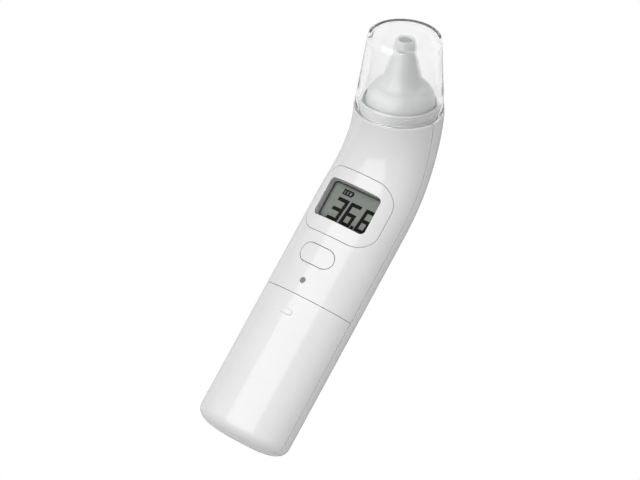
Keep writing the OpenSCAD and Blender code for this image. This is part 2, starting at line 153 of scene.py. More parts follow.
def skin_normal(s, t, end=None):
    """The outward normal there; end is the angle of a row of the rounded end."""
    c, q = np.cos(t), np.sin(t)
    d = np.where(q >= 0, front_d(s), back_d(s))
    hw = half_w(s)
    e = 0.01
    d_step = np.where(q >= 0, front_d(s + e) - front_d(s - e), back_d(s + e) - back_d(s - e))
    d_s = d_step / (2 * e)
    w_s = (half_w(s + e) - half_w(s - e)) / (2 * e)
    gx = c / hw
    gh = q / d
    gs = -(c * c * w_s / hw + q * q * d_s / d)
    if end is not None:
        ca, sa = np.cos(end), np.sin(end)
        rho = np.maximum(sa, 1e-6) ** (2 / 3)
        gx, gh = gx * rho**2, gh * rho**2
        gs = gs * rho**2 - (np.maximum(ca, 0) ** (4 / 3)) / END_DEPTH
    a = turn(s)
    bent = (s > BEND_START) & (s < BEND_START + ARC)
    gs = gs / np.where(bent, 1 - d * q / BEND_R, 1)
    n = np.stack([gx, gs * np.cos(a) - gh * np.sin(a), gs * np.sin(a) + gh * np.cos(a)], -1)
    return n / np.linalg.norm(n, axis=-1, keepdims=True)


def line_at(s):
    """Height above the spine at which the covers meet."""
    t = ease((s - BEND_START) / (NECK_S - BEND_START))
    return LINE_H * (1 - t) + NECK_LINE_H * t


def edge(s, off, w=0.0, k=1.0, most=FRONT_MOST):
    """Angle of a rim that lies off above the line where the covers meet; most limits
    its sine."""
    return np.arcsin(np.minimum((line_at(s) + off) / ((front_d(s) - w) * k), most))


def from_plan(x, y, w=0.0):
    """(s, t) of the front surface, set in by w, seen at plan position x, y."""
    halvings, past_neck = 44, 12
    lo = np.full(np.shape(x), 0.0)
    hi = np.full(np.shape(x), NECK_S + past_neck)
    for _ in range(halvings):
        s = (lo + hi) / 2
        r = np.clip(x / (half_w(s) - w), -1, 1)
        h = (front_d(s) - w) * np.sqrt(1 - r * r)
        sy, _, a = spine(s)
        low = sy - h * np.sin(a) < y
        lo, hi = np.where(low, s, lo), np.where(low, hi, s)
    return s, np.arccos(np.clip(x / (half_w(s) - w), -1, 1))


# ---- mesh building ----
class Shape:
    """Points that carry their own normals, and faces with a material number."""

    def __init__(self):
        self.p, self.n, self.f, self.m, self.count = [], [], [], [], 0

    def add(self, p, n):
        p = np.asarray(p, float).reshape(-1, 3)
        n = np.broadcast_to(np.asarray(n, float), p.shape)
        self.p.append(p)
        self.n.append(n)
        start = self.count
        self.count += len(p)
        return np.arange(start, self.count)

    def faces(self, faces, mat=0):
        for f in faces:
            self.f.append([int(i) for i in f])
            self.m.append(mat)

    def grid(self, p, n, mat=0, closed=False, skip=None):
        """A sheet of quads over points p[i][j]; closed joins the last j to the first."""
        p = np.asarray(p, float)
        a, b = p.shape[:2]
        ids = self.add(p, np.broadcast_to(n, p.shape).reshape(-1, 3)).reshape(a, b)
        for i in range(a - 1):
            for j in range(b if closed else b - 1):
                if skip is not None and skip(i, j):
                    continue
                k = (j + 1) % b
                self.f.append([int(ids[i, j]), int(ids[i, k]), int(ids[i + 1, k]), int(ids[i + 1, j])])
                self.m.append(mat)
        return ids

    def flat(self, points, normal, mat=0):
        ids = self.add(points, normal)
        self.faces([ids], mat)

    def bm(self, bm, mat=0):
        """Every face of a bmesh, with its own corners and a flat normal."""
        bm.normal_update()
        for f in bm.faces:
            self.flat(np.array([v.co for v in f.verts]), np.array(f.normal), mat)
        bm.free()


def unit(v):
    return v / np.maximum(np.linalg.norm(v, axis=-1, keepdims=True), 1e-12)


def to_mesh(name, shape):
    """A mesh in the row frame; faces without area are left out."""
    no_area, same_place = 1e-14, 1e-7
    p = np.concatenate(shape.p)
    n = unit(np.concatenate(shape.n))
    faces, mats = [], []
    for f, m in zip(shape.f, shape.m):
        q = p[f]
        area = np.zeros(3)
        for i in range(1, len(f) - 1):
            area += np.cross(q[i] - q[0], q[i + 1] - q[0])
        if np.dot(area, area) < no_area:
            continue
        keep = [i for i in range(len(f)) if np.abs(q[i] - q[i - 1]).max() > same_place]
        if len(keep) < 3:
            continue
        f = [f[i] for i in keep]
        if np.dot(area, n[f].sum(0)) < 0:
            f = f[::-1]
        faces.append(f)
        mats.append(m)
    mesh = bpy.data.meshes.new(name)
    row = (p - (0, MID_Y, FLAT_Z)) * MM
    mesh.from_pydata([tuple(v) for v in row], [], faces)
    mesh.polygons.foreach_set("material_index", mats)
    mesh.polygons.foreach_set("use_smooth", [True] * len(faces))
    mesh.update()
    mesh.normals_split_custom_set_from_vertices([tuple(v) for v in n])
    return mesh


def piece(name, shape, body, slot, materials, *nodes):
    """A visible piece that rides a body and stands in for the CAD nodes named last."""
    mesh = to_mesh(name, shape)
    obj = bpy.data.objects.new(name, mesh)
    bpy.context.scene.collection.objects.link(obj)
    for m in materials:
        mesh.materials.append(m)
    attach(obj, body)
    if nodes:
        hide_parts(*nodes)
    return obj


def inside(loop, pts):
    """Which points lie in a closed loop."""
    x, y = pts[:, 0], pts[:, 1]
    hit = np.zeros(len(pts), bool)
    for (x0, y0), (x1, y1) in zip(loop, np.roll(loop, -1, 0)):
        cross = (y0 > y) != (y1 > y)
        with np.errstate(divide="ignore", invalid="ignore"):
            hit ^= cross & (x < (x1 - x0) * (y - y0) / (y1 - y0) + x0)
    return hit


def fill(outer, holes, step):
    """Points and triangles that fill a loop around its holes, in the plane."""
    loops = [outer] + list(holes)
    lo, hi = outer.min(0), outer.max(0)
    nx, ny = [max(2, int(v)) for v in np.ceil((hi - lo) / step)]
    gx, gy = np.meshgrid(np.linspace(lo[0], hi[0], nx + 1), np.linspace(lo[1], hi[1], ny + 1))
    g = np.stack([gx.ravel(), gy.ravel()], -1)
    keep = inside(outer, g)
    for h in holes:
        keep &= ~inside(h, g)
    g = g[keep]
    for loop in loops:
        near = np.sqrt(((g[:, None] - loop[None]) ** 2).sum(-1)).min(1)
        g = g[near > step * 0.5]
    pts, edges = [], []
    for loop in loops:
        start = len(pts)
        pts += [tuple(v) for v in loop]
        m = len(loop)
        edges += [(start + i, start + (i + 1) % m) for i in range(m)]
    pts += [tuple(v) for v in g]
    out = delaunay_2d_cdt([Vector(v) for v in pts], edges, [], 0, 1e-6)
    v = np.array([tuple(q) for q in out[0]])
    tri = np.array([list(f) for f in out[2]])
    mid = v[tri].mean(1)
    keep = inside(outer, mid)
    for h in holes:
        keep &= ~inside(h, mid)
    return v, tri[keep]


def round_rect(spec):
    """A rounded rectangle, with outward directions."""
    n, step = 10, 1.2
    cx, cy, hw, hh, r = spec
    pts, out = [], []

    def run(a, b, d):
        m = max(1, int(np.ceil(np.hypot(b[0] - a[0], b[1] - a[1]) / step)))
        for i in range(1, m):
            pts.append((a[0] + (b[0] - a[0]) * i / m, a[1] + (b[1] - a[1]) * i / m))
            out.append(d)

    quarters = [(1, 1, 0), (-1, 1, 90), (-1, -1, 180), (1, -1, 270)]
    for i, (sx, sy, a0) in enumerate(quarters):
        for j in range(n + 1):
            a = math.radians(a0 + 90 * j / n)
            d = (math.cos(a), math.sin(a))
            pts.append((sx * (hw - r) + r * d[0], sy * (hh - r) + r * d[1]))
            out.append(d)
        nx, ny, _ = quarters[(i + 1) % 4]
        a = math.radians(a0 + 90)
        d = (math.cos(a), math.sin(a))
        run(pts[-1], (nx * (hw - r) + r * d[0], ny * (hh - r) + r * d[1]), d)
    pts, out = np.array(pts), np.array(out)
    return pts + (cx, cy), out


def corners(x0, y0, x1, y1):
    return (x0, y0), (x1, y0), (x1, y1), (x0, y1)


def circle_rect(x, y, r):
    """A circle, as a rectangle that is nearly all corners."""
    return (x, y, r, r, r - 1e-4)


def fillet(shape, s0, e, w, n0, d, closed=True):
    """A rounded edge from ring s0 over corner ring e to ring w."""
    steps = 4
    rows, norms = [], []
    for i in range(steps + 1):
        q = i / steps
        rows.append((1 - q) ** 2 * s0 + 2 * q * (1 - q) * e + q * q * w)
        f = q * math.pi / 2
        norms.append(unit(math.cos(f) * n0 + math.sin(f) * d))
    shape.grid(rows, np.array(norms), closed=closed)


def on_plan(xy, w=0.0):
    """Points and normals of the front surface under plan positions, set in by w."""
    s, t = from_plan(xy[:, 0], xy[:, 1], w)
    return skin(s, t, w), skin_normal(s, t)


def plan_panel(shape, outer, holes, top, foot, round_r, step=1.0, hole_round=None):
    """A piece of the front wall between depths top and foot, cut out in plan, with
    rounded edges."""
    loops = [(outer, -1, round_r)] + [(h, 1, hole_round) for h in holes]
    rings = []
    for spec, sign, r in loops:
        base, out = round_rect(spec)
        d = np.concatenate([-sign * out, np.zeros((len(out), 1))], -1)
        s0, n0 = on_plan(base + out * sign * r, top)
        e, _ = on_plan(base, top)
        w = e - (0, 0, r)
        low, _ = on_plan(base, foot)
        fillet(shape, s0, e, w, n0, d)
        shape.grid([w, low], np.stack([d, d]), closed=True)
        rings.append((base, base + out * sign * r))
    for depth, which, flip in ((top, 1, 1), (foot, 0, -1)):
        v, tri = fill(rings[0][which], [r[which] for r in rings[1:]], step if flip > 0 else 2 * step)
        p, n = on_plan(v, depth)
        ids = shape.add(p, n * flip)
        shape.faces(ids[tri])


def place_box(shape, xs, ys, zs, bevel=0.15):
    """A block inside a cover, between two places along each axis."""
    bm = bmesh.new()
    bmesh.ops.create_cube(bm, size=1)
    for v in bm.verts:
        v.co = Vector([(a + b) / 2 + c * (b - a) for c, (a, b) in zip(v.co, (xs, ys, zs))])
    if bevel:
        bmesh.ops.bevel(bm, geom=bm.edges[:], offset=bevel, segments=2, affect="EDGES", profile=0.5)
    shape.bm(bm, INSIDE)


# ---- turned pieces ----
SMOOTH_BELOW = 42  # degrees
GENTLE, SHARP = 0.499, 0.49  # share of a side that a rounded corner may take
ON_AXIS = 1e-6


def soften(profile, r):
    """Rounds a closed profile of (radius, height): gentle corners become a smooth
    curve, sharp ones get radius r. Returns points and their normals."""
    p = np.array(profile, float)
    m = len(p)
    area = sum(p[i - 1][0] * p[i][1] - p[i][0] * p[i - 1][1] for i in range(m))
    if area < 0:
        p = p[::-1]
    pts, nor = [], []

    def push(q, d):
        d = d / np.hypot(*d)
        pts.append(q)
        nor.append((d[1], -d[0]))

    for i in range(m):
        a, b, c = p[i - 1], p[i], p[(i + 1) % m]
        u, v = b - a, c - b
        lu, lv = np.hypot(*u), np.hypot(*v)
        ang = math.degrees(abs(math.atan2(u[0] * v[1] - u[1] * v[0], np.dot(u, v))))
        if b[0] < ON_AXIS:
            push(b, v if a[0] < ON_AXIS else u)
            continue
        if ang < SMOOTH_BELOW:
            cut_u, cut_v, steps = GENTLE * lu, GENTLE * lv, 3
        else:
            cut_u, cut_v, steps = min(r, SHARP * lu), min(r, SHARP * lv), 4
        s0, s1 = b - u / lu * cut_u, b + v / lv * cut_v
        for j in range(steps + 1):
            q = j / steps
            tan = (1 - q) * (b - s0) + q * (s1 - b)
            push((1 - q) ** 2 * s0 + 2 * q * (1 - q) * b + q * q * s1, tan)
    return np.array(pts), np.array(nor)


def turned(shape, profile, move, r=0.15, seg=160, span=None, mat=0):
    """Turns a closed profile about the local z axis; span limits it to an arc."""
    pts, nor = soften(profile, r)
    full = span is None
    a0, a1 = (0, 2 * math.pi) if full else span
    ang = np.linspace(a0, a1, seg + (0 if full else 1), endpoint=not full)
    c, q = np.cos(ang), np.sin(ang)
    P = np.stack([pts[:, None, 0] * c, pts[:, None, 0] * q, pts[:, None, 1] + 0 * c], -1)
    N = np.stack([nor[:, None, 0] * c, nor[:, None, 0] * q, nor[:, None, 1] + 0 * c], -1)
    P = np.concatenate([P, P[:1]])
    N = np.concatenate([N, N[:1]])
    for i in range(len(P) - 1):
        if pts[i][0] < ON_AXIS and pts[(i + 1) % len(pts)][0] < ON_AXIS:
            continue
        shape.grid(move(P[i : i + 2]), move(N[i : i + 2], True), mat, full)
    if not full:
        for k in (0, -1):
            d = np.array([-q[k], c[k], 0]) * (-1 if k == 0 else 1)
            shape.flat(move(P[:-1, k]), move(d[None], True)[0], mat)


def in_head(p, direction=False):
    """From the head's own frame, whose z axis is the head's."""
    p = np.asarray(p, float)
    c, q = math.cos(BEND), math.sin(BEND)
    out = np.stack([p[..., 0], p[..., 1] * q + p[..., 2] * c, -p[..., 1] * c + p[..., 2] * q], -1)
    return out if direction else out + (0, NECK_Y, NECK_Z)


def in_probe(p, direction=False):
    p = np.asarray(p, float)
    return in_head(p, direction) if direction else in_head(p + (0, PROBE_OFF, 0))


def upright(x, y):
    """Places a turned piece on an upright axis."""

    def move(p, direction=False):
        p = np.asarray(p, float)
        return p if direction else p + (x, y, 0)

    return move


def tube_profile(r0, r1, z0, z1):
    return [(r1, z0), (r1, z1), (r0, z1), (r0, z0)]


def rod_profile(r, z0, z1):
    return [(0, z0), (r, z0), (r, z1), (0, z1)]


# ---- materials ----
def new_material(name):
    mat = bpy.data.materials.new(name)
    mat.use_nodes = True
    tree = mat.node_tree
    return mat, tree, tree.nodes["Principled BSDF"]


def put(node, **values):
    """Sets inputs of a node by their names, with _ for a blank."""
    for key, value in values.items():
        node.inputs[key.replace("_", " ")].default_value = value
    return node


def add(tree, kind, **values):
    return put(tree.nodes.new(f"ShaderNode{kind}"), **values)


def noise(tree, scale, detail=4.0, rough=0.5, stretch=None):
    """Noise over the object's own coordinates, in metres."""
    source = add(tree, "TexCoord").outputs["Object"]
    if stretch is not None:
        m = add(tree, "Mapping", Scale=stretch)
        tree.links.new(source, m.inputs["Vector"])
        source = m.outputs["Vector"]
    n = add(tree, "TexNoise", Scale=scale, Detail=detail, Roughness=rough)
    tree.links.new(source, n.inputs["Vector"])
    return n.outputs["Fac"]


def spread(tree, value, low, high, a=0.3, b=0.7):
    """Maps a value between a and b, where most of a noise lies, to low and high."""
    m = add(tree, "MapRange", From_Min=a, From_Max=b, To_Min=low, To_Max=high)
    tree.links.new(value, m.inputs["Value"])
    return m.outputs["Result"]


def calc(tree, operation, *values):
    """A Math node over outputs or plain numbers."""
    m = add(tree, "Math")
    m.operation = operation
    for socket, value in zip(m.inputs, values):
        if isinstance(value, bpy.types.NodeSocket):
            tree.links.new(value, socket)
        else:
            socket.default_value = value
    return m.outputs["Value"]


def mixed(tree, factor, first, second):
    mix = add(tree, "MixShader")
    for socket, value in zip(mix.inputs, (factor, first, second)):
        tree.links.new(value, socket)
    return mix.outputs["Shader"]


def show(tree, shader):
    tree.links.new(shader, tree.nodes["Material Output"].inputs["Surface"])


def ramp(tree, value, stops):
    """A colour for the value, from (position, colour) stops."""
    r = add(tree, "ValToRGB")
    e = r.color_ramp.elements
    while len(e) > 1:
        e.remove(e[-1])
    for i, (pos, colour) in enumerate(stops):
        item = e[0] if i == 0 else e.new(pos)
        item.position = pos
        item.color = (*colour, 1)
    tree.links.new(value, r.inputs["Fac"])
    return r.outputs["Color"]


def bump(tree, shader, parts):
    """Stacks bumps of (height output, strength), a tenth of a millimetre deep."""
    last = None
    for height, strength in parts:
        b = add(tree, "Bump", Strength=strength, Distance=0.1 * MM)
        tree.links.new(height, b.inputs["Height"])
        if last is not None:
            tree.links.new(last, b.inputs["Normal"])
        last = b.outputs["Normal"]
    tree.links.new(last, shader.inputs["Normal"])


def moulded(
    name, dark, light, rough, grain, blotch=45, metallic=0.0, stretch=None, coat=0.0, ior=1.5
):
    """A solid material: soft tone changes from dark to light at scale blotch, uneven
    roughness, and a fine grain of (scale, strength)."""
    mat, tree, bsdf = new_material(name)
    put(bsdf, Metallic=metallic, IOR=ior, Coat_Weight=coat, Coat_Roughness=0.06)
    tone = noise(tree, blotch, 5, 0.55, stretch)
    tree.links.new(ramp(tree, tone, [(0.3, dark), (0.7, light)]), bsdf.inputs["Base Color"])
    tree.links.new(spread(tree, noise(tree, blotch * 4, 6, 0.6, stretch), *rough), bsdf.inputs["Roughness"])
    bump(tree, bsdf, [(noise(tree, grain[0], 3, 0.6, stretch), grain[1])])
    return mat


def clear(name, stops, rough, gloss, body=0.0):
    """Clear plastic seen through: tinted by how far the wall is looked at along its
    length, with a glossy skin, faint hairlines and, for film, a milky body."""
    mat, tree, bsdf = new_material(name)
    tree.nodes.remove(bsdf)
    facing = add(tree, "LayerWeight", Blend=0.5).outputs["Facing"]
    through = add(tree, "BsdfTransparent")
    grey = [(pos, (v * 0.996, v, v * 0.999)) for pos, v in stops]
    tree.links.new(ramp(tree, facing, grey), through.inputs["Color"])
    base = through.outputs["BSDF"]
    if body:
        milk = add(tree, "BsdfDiffuse")
        tone = ramp(tree, noise(tree, 220, 4), [(0.3, (0.78, 0.78, 0.78)), (0.7, (0.86, 0.86, 0.86))])
        tree.links.new(tone, milk.inputs["Color"])
        much = spread(tree, facing, 0.25 * body, body, 0.0, 1.0)
        base = mixed(tree, much, base, milk.outputs["BSDF"])
    shine = add(tree, "BsdfGlossy")
    tree.links.new(
        spread(tree, noise(tree, 300, 4, 0.6, (1, 1, 0.15)), rough, rough * 2.5), shine.inputs["Roughness"]
    )
    bump(tree, shine, [(noise(tree, 500, 3), 0.04)])
    steep = calc(tree, "POWER", facing, 4)
    show(tree, mixed(tree, spread(tree, steep, *gloss, 0.0, 1.0), base, shine.outputs["BSDF"]))
    return mat


def glassy(name, tint, rough):
    """Solid clear plastic that bends light and lets lamps through."""
    mat, tree, bsdf = new_material(name)
    lamp = add(tree, "LightPath").outputs["Is Shadow Ray"]
    through = add(tree, "BsdfTransparent", Color=(0.96, 0.965, 0.965, 1))
    show(tree, mixed(tree, lamp, bsdf.outputs["BSDF"], through.outputs["BSDF"]))
    put(bsdf, Transmission_Weight=0.97, IOR=1.49)
    lighter = tuple(min(1, c * 1.01) for c in tint)
    tone = ramp(tree, noise(tree, 30, 3), [(0.3, tint), (0.7, lighter)])
    tree.links.new(tone, bsdf.inputs["Base Color"])
    tree.links.new(spread(tree, noise(tree, 250, 5, 0.6), *rough), bsdf.inputs["Roughness"])
    bump(tree, bsdf, [(noise(tree, 400, 3), 0.02)])
    return mat


def board_material():
    """Green lacquer over a weave, with paler tracks."""
    mat, tree, bsdf = new_material("solder_mask")
    weave = noise(tree, 900, 3, 0.6, (1, 0.2, 1))
    base = ramp(tree, weave, [(0.35, (0.012, 0.085, 0.035)), (0.65, (0.02, 0.13, 0.055))])
    brick = add(tree, "TexVoronoi", Scale=260, Randomness=0.35)
    brick.feature = "DISTANCE_TO_EDGE"
    tree.links.new(add(tree, "TexCoord").outputs["Object"], brick.inputs["Vector"])
    track = ramp(tree, brick.outputs["Distance"], [(0.0, (1, 1, 1)), (0.06, (1, 1, 1)), (0.09, (0, 0, 0))])
    mix = add(tree, "Mix")
    mix.data_type = "RGBA"
    tree.links.new(track, mix.inputs["Factor"])
    tree.links.new(base, mix.inputs["A"])
    mix.inputs["B"].default_value = (0.045, 0.24, 0.09, 1)
    tree.links.new(mix.outputs["Result"], bsdf.inputs["Base Color"])
    tree.links.new(spread(tree, noise(tree, 120, 5), 0.25, 0.42), bsdf.inputs["Roughness"])
    bump(tree, bsdf, [(track, 0.25), (noise(tree, 1500, 3), 0.06)])
    return mat


def striped(name, a, b, scale, rough):
    """Fine parallel lines of two colours."""
    mat, tree, bsdf = new_material(name)
    wave = add(tree, "TexWave", Scale=scale, Distortion=0.4, Detail=2)
    wave.bands_direction = "X"
    tree.links.new(add(tree, "TexCoord").outputs["Object"], wave.inputs["Vector"])
    tree.links.new(ramp(tree, wave.outputs["Fac"], [(0.35, a), (0.65, b)]), bsdf.inputs["Base Color"])
    tree.links.new(spread(tree, noise(tree, 300, 5), *rough), bsdf.inputs["Roughness"])
    bump(tree, bsdf, [(wave.outputs["Fac"], 0.2), (noise(tree, 1200, 3), 0.08)])
    return mat


WHITE = moulded(
    "gloss_white_abs", (0.735, 0.735, 0.735), (0.765, 0.765, 0.765), (0.09, 0.14), (700, 0.015),
    coat=0.15, ior=1.4,
)
# The same white plastic for the cone and collar under the cap, satin, with its base colour about a quarter
# darker than the handle's white as painted shade.
SHADED_WHITE_HEAD = moulded(
    "satin_white_abs_painted_shade", (0.535, 0.535, 0.538), (0.565, 0.565, 0.568), (0.26, 0.36), (900, 0.03)
)
WHITE_INSIDE = moulded(
    "unpolished_white_abs", (0.70, 0.70, 0.69), (0.74, 0.74, 0.73), (0.4, 0.55), (1400, 0.12)
)
GREY = moulded("matt_grey_plastic", (0.7, 0.7, 0.7), (0.74, 0.74, 0.74), (0.38, 0.5), (1500, 0.1))
PIN_GREY = moulded("pin_grey_plastic", (0.24, 0.24, 0.245), (0.28, 0.28, 0.285), (0.35, 0.45), (1500, 0.1))
BLACK = moulded("black_plastic", (0.012, 0.012, 0.013), (0.025, 0.025, 0.027), (0.35, 0.5), (1800, 0.15))
FOAM = moulded("closed_cell_foam", (0.05, 0.05, 0.05), (0.09, 0.09, 0.09), (0.75, 0.95), (2500, 0.7), 900)
RUBBER = moulded("seal_rubber", (0.015, 0.015, 0.016), (0.03, 0.03, 0.031), (0.5, 0.7), (1500, 0.2))
PALE = moulded("pale_plastic", (0.60, 0.60, 0.585), (0.66, 0.66, 0.645), (0.38, 0.52), (1300, 0.12))
FILM = moulded("silver_film", (0.55, 0.56, 0.56), (0.66, 0.67, 0.67), (0.22, 0.34), (1200, 0.05), 200, 0.7)
LABEL = moulded("label_film", (0.60, 0.61, 0.62), (0.70, 0.71, 0.72), (0.3, 0.42), (1600, 0.08), 120, 0.35)
WIRE = moulded("drawn_spring_wire", (0.2, 0.2, 0.21), (0.31, 0.31, 0.32), (0.25, 0.4), (2500, 0.1), 500, 1.0)
PLATED = moulded(
    "nickel_plate", (0.22, 0.215, 0.205), (0.29, 0.285, 0.275), (0.22, 0.36), (1600, 0.08), 220, 1.0
)
STEEL = moulded(
    "brushed_cell_steel", (0.16, 0.16, 0.165), (0.25, 0.25, 0.255), (0.28, 0.42), (700, 0.12), 160, 1.0,
    stretch=(1, 14, 1),
)
GOLD = moulded("gold_plate", (0.3, 0.205, 0.07), (0.37, 0.27, 0.115), (0.16, 0.28), (1500, 0.05), 260, 1.0)
CERAMIC = moulded("fired_ceramic", (0.34, 0.23, 0.13), (0.46, 0.33, 0.2), (0.45, 0.65), (2200, 0.2), 500)
POLYIMIDE = striped("polyimide_flex", (0.5, 0.2, 0.025), (0.62, 0.3, 0.06), 330, (0.25, 0.4))
ZEBRA = striped("contact_rubber", (0.02, 0.02, 0.02), (0.2, 0.2, 0.2), 800, (0.5, 0.7))
BOARD = board_material()
FILTER = moulded(
    "dark_silicon_filter", (0.03, 0.033, 0.036), (0.05, 0.053, 0.057), (0.04, 0.1), (900, 0.01), 300,
    ior=2.2,
)
LCD = moulded(
    "lcd_polariser", (0.205, 0.221, 0.203), (0.221, 0.238, 0.219), (0.42, 0.5), (2600, 0.05), 60, ior=1.3
)
INK = moulded(
    "lcd_segment", (0.010, 0.009, 0.008), (0.018, 0.016, 0.014), (0.75, 0.85), (900, 0.01), 120, ior=1.15
)
CAP = glassy("clear_cap_plastic", (0.99, 0.993, 0.992), (0.0, 0.02))
PANE = clear("clear_window", [(0.0, 0.985), (0.5, 0.98), (1.0, 0.92)], 0.02, (0.0, 0.25))
SLEEVE = clear("clear_film_sleeve", [(0.0, 0.99), (0.4, 0.985), (1.0, 0.95)], 0.08, (0.02, 0.2), 0.15)

SLOT_MATERIALS = {
    "white_gloss_plastic": WHITE, "clear_plastic": CAP, "clear_film": SLEEVE, "black_foam": FOAM,
    "lcd_glass": LCD, "silver_film": FILM, "grey_plastic": GREY, "contact_rubber": ZEBRA,
    "black_plastic": BLACK, "spring_steel": WIRE, "seal_rubber": RUBBER, "dark_filter": FILTER,
    "gold_plate": GOLD, "plated_steel": PLATED, "cell_steel": STEEL, "pale_plastic": PALE,
    "polyimide": POLYIMIDE, "board_laminate": BOARD, "capacitor_ceramic": CERAMIC, "label_film": LABEL,
}
for part in frame["record"]["subparts"]:
    node = frame["nodes"][part["node"]]
    node.data.materials.clear()
    node.data.materials.append(SLOT_MATERIALS[part["material_slot"]])


# ---- covers ----
def front_cover():
    shape = Shape()
    n_s, n_t = 80, 46

    def outer_ring(o, w=0.0):
        """The rim, set back by o, at depth w: the seam, one side, the neck, the other."""
        s0, s1 = FRONT_S0 + o, NECK_S - o
        up, down = np.linspace(0, 1, n_s + 1), np.linspace(1, 0, n_s + 1)
        fs = np.concatenate([np.zeros(n_t), up, np.ones(n_t), down])
        over, back = np.linspace(0, 1, n_t + 1)[1:], np.linspace(1, 0, n_t + 1)[:-1]
        ft = np.concatenate([back, np.zeros(n_s + 1), over, np.ones(n_s + 1)])
        s = s0 + (s1 - s0) * fs
        e = edge(s, FRONT_OFF + o, w)
        t = e + (math.pi - 2 * e) * ft
        return s, t

    s, t = outer_ring(0)
    a = turn(s)
    down = np.stack([0 * a, np.sin(a), -np.cos(a)], -1)
    along = np.stack([0 * a, np.cos(a), np.sin(a)], -1)
    d = down.copy()
    d[:n_t] = -along[:n_t]
    k = n_t + n_s + 1
    d[k : k + n_t] = along[k : k + n_t]
    n0 = skin_normal(s, t)
    si, ti = outer_ring(SEAM_R)
    e, w = skin(s, t), skin(s, t) - SEAM_R * n0
    fillet(shape, skin(si, ti), e, w, skin_normal(si, ti), d)
    sd, td = outer_ring(0, WALL)
    shape.grid([w, skin(sd, td, WALL)], np.stack([d, d]), closed=True)

    def flatten(s, t):
        return np.stack([(math.pi / 2 - t) * ROLL_R, s], -1)

    holes = [(BEZEL, 0.2), (BUTTON, 0.12), (circle_rect(0, PIN_Y, 1.15), 0.1)]
    tops, feet = [], []
    for spec, r in holes:
        base, out = round_rect(spec)
        dd = np.concatenate([-out, np.zeros((len(out), 1))], -1)
        grown = base + out * r
        p0, m0 = on_plan(grown)
        pe, _ = on_plan(base)
        pw = pe - (0, 0, r)
        low, _ = on_plan(base, WALL)
        fillet(shape, p0, pe, pw, m0, dd)
        shape.grid([pw, low], np.stack([dd, dd]), closed=True)
        tops.append(flatten(*from_plan(grown[:, 0], grown[:, 1])))
        feet.append(flatten(*from_plan(base[:, 0], base[:, 1], WALL)))
    outside = (flatten(si, ti), tops, 0.0, 1, 0.95, 0)
    inner_side = (flatten(sd, td), feet, WALL, -1, 2.0, INSIDE)
    for ring, cut, w, flip, step, mat in (outside, inner_side):
        v, tri = fill(ring, cut, step)
        vs, vt = v[:, 1], math.pi / 2 - v[:, 0] / ROLL_R
        ids = shape.add(skin(vs, vt, w), skin_normal(vs, vt) * flip)
        shape.faces(ids[tri], mat)
    bulkhead(shape)
    # the bar under the pin's spring, and the screw lugs
    place_box(shape, (-3.2, 3.2), (SEAM_Y + 1.5, 67), (15.8, 17))
    for x in (-11, 11):
        place_box(shape, (x - 2.8, x + 2.8), (50.8, SEAM_Y + 1.5), (13.95, 15.1))
    cover_piece("front_cover", shape, "thermometer")


def bulkhead(shape):
    """The wall behind the battery cover's seam, with a slot for the cover's tongue."""
    half, foot, sunk = 15.8, 14.5, 1.3
    slot_half, slot_foot, slot_top = 5.2, 20.8, 22.7
    xs = np.linspace(-half, half, 33)
    r = xs / (HANDLE_W / 2 - sunk)
    top = BACK_D + (FRONT_D - sunk) * np.sqrt(1 - r * r)
    slot = np.abs(xs) <= slot_half
    under = (np.full_like(xs, foot), np.where(slot, slot_foot, top))
    over = (np.where(slot, slot_top, top), top)
    for y, ny in ((SEAM_Y + 0.35, -1), (SEAM_Y + 1.5, 1)):
        for za, zb in (under, over):
            rows = [np.stack([xs, 0 * xs + y, z], -1) for z in (za, zb)]
            shape.grid(rows, np.array([0, ny, 0.0]), INSIDE)
    place_box(shape, (-half, half), (SEAM_Y + 0.36, SEAM_Y + 1.49), (foot, 14.7), 0)


def cover_piece(node, shape, body):
    piece(f"{node}_form", shape, body, "white_gloss_plastic", [WHITE, WHITE_INSIDE], node)


# rows of the rounded end, from its tip, closer together where it turns into the sides
END_ANGLES = np.radians([1, 4, 8, 13, 18, 24, 30, 36, 42, 48, 54, 60, 65, 70, 75, 79, 83, 86, 88, 90])


def end_rows():
    """Where the end's rows lie and how far their section is scaled."""
    ca, sa = np.maximum(np.cos(END_ANGLES), 0), np.sin(END_ANGLES)
    return END_Y + END_DEPTH * (1 - ca ** (2 / 3)), sa ** (2 / 3)


def rows_with(straight):
    """(s, k, end angle) rows of a cover: the rounded end, then the given rows."""
    s, k = end_rows()
    more = np.asarray(straight, float)
    return (
        np.concatenate([s, more]),
        np.concatenate([k, np.ones(len(more))]),
        np.concatenate([END_ANGLES, np.full(len(more), math.pi / 2)]),
    )


